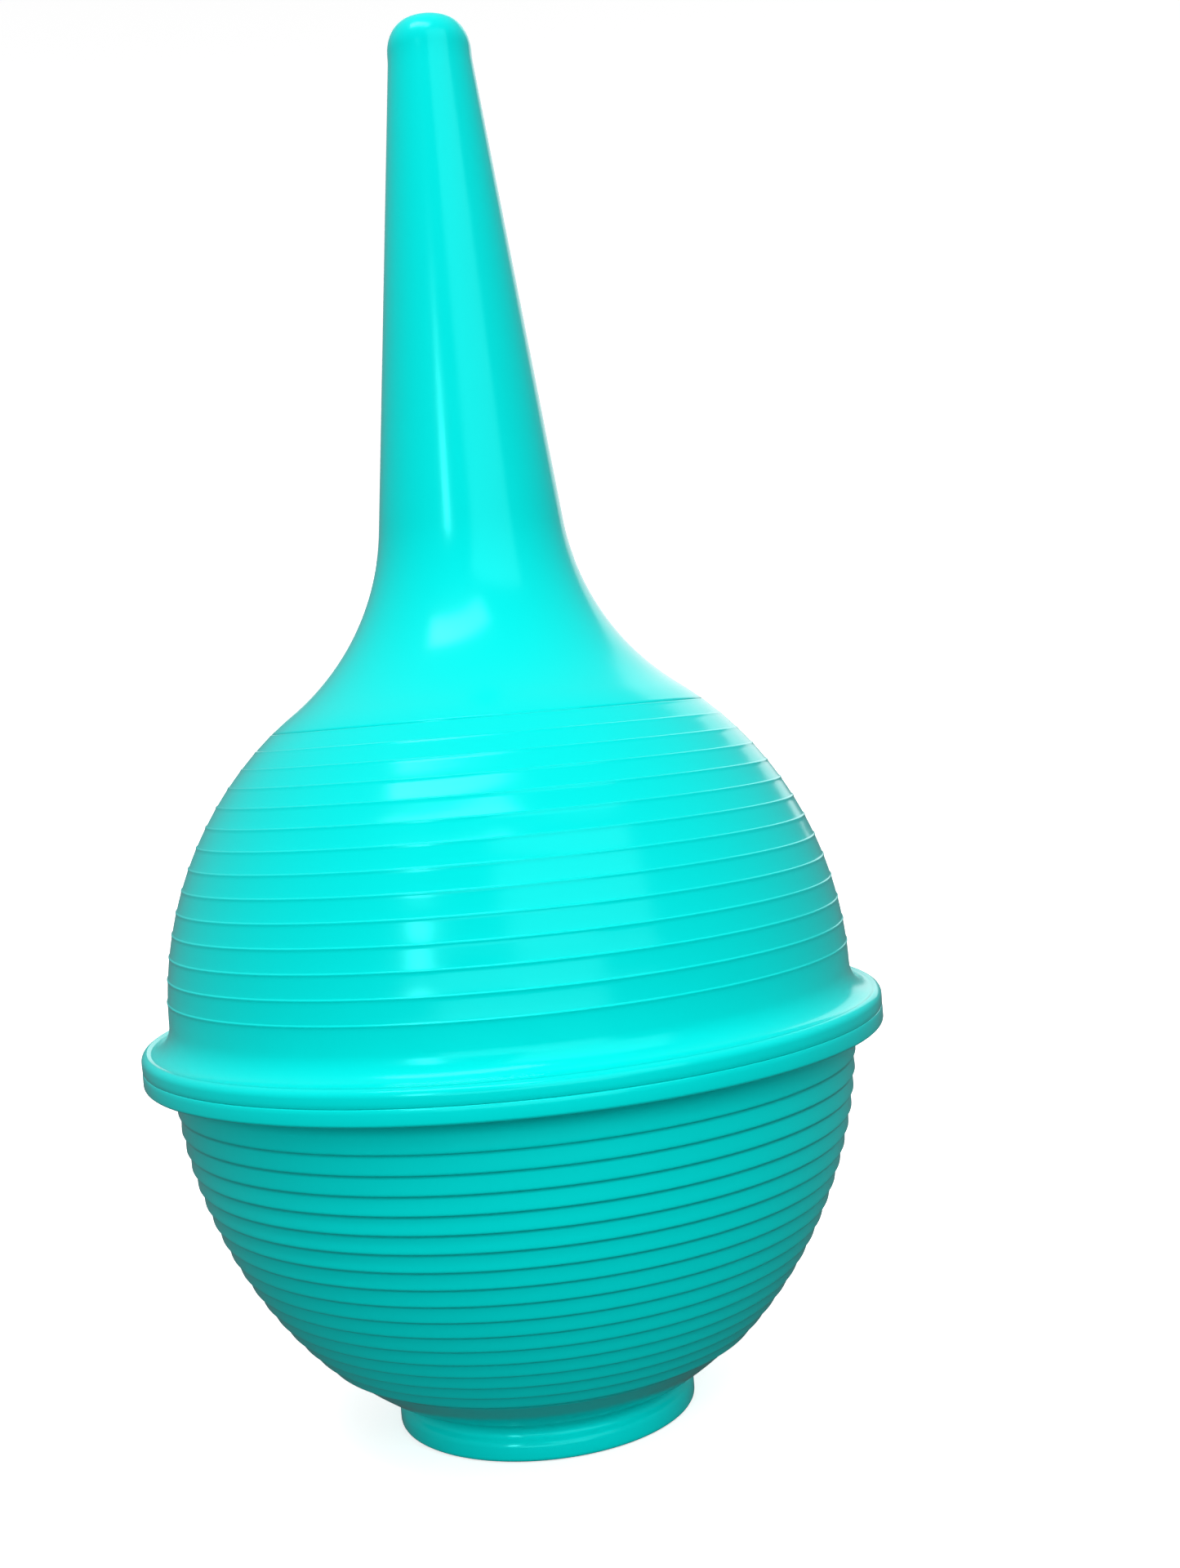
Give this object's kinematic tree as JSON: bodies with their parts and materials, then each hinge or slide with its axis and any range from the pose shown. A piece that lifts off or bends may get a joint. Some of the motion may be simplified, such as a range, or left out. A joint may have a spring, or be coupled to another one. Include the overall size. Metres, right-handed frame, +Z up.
{
  "type": "nasal aspirator",
  "caption": "Soft ribbed squeeze bulb with an equatorial flange, a flat foot and one long tapered hollow spout, for drawing mucus from a baby's nose.",
  "frame": {"origin": "centre of the foot's flat face, under the bulb", "axes": "+Z up the bulb's axis towards the spout's tip; the thumb pushes the wall in along +Y; +X is to the right of a person facing the thumb's side"},
  "size_m": [0.0836, 0.0836, 0.158],
  "materials": {
    "upper_moulding": "satin-gloss soft elastomer, turquoise",
    "lower_moulding": "satin-gloss soft elastomer, turquoise, ribbed",
    "spout_tube": "smooth satin-gloss soft elastomer, turquoise"
  },
  "bodies": {
    "bulb": {"upper_shell": "upper_moulding", "lower_shell": "lower_moulding"},
    "thumb_wall": {"thumb_wall_upper": "upper_moulding", "thumb_wall_lower": "lower_moulding"},
    "spout": {"spout": "spout_tube"}
  },
  "joints": [
    {"name": "squeeze", "type": "slide", "parent": "bulb", "child": "thumb_wall", "axis": [0, 1, 0], "range_m": [0, 0.06], "stiffness_N_per_m": 300},
    {"name": "spout_flex", "type": "hinge", "parent": "bulb", "child": "spout", "pos_m": [0, 0, 0.094], "axis": [0, 1, 0], "range_deg": [-15, 15], "stiffness_Nm_per_rad": 0.3}
  ]
}
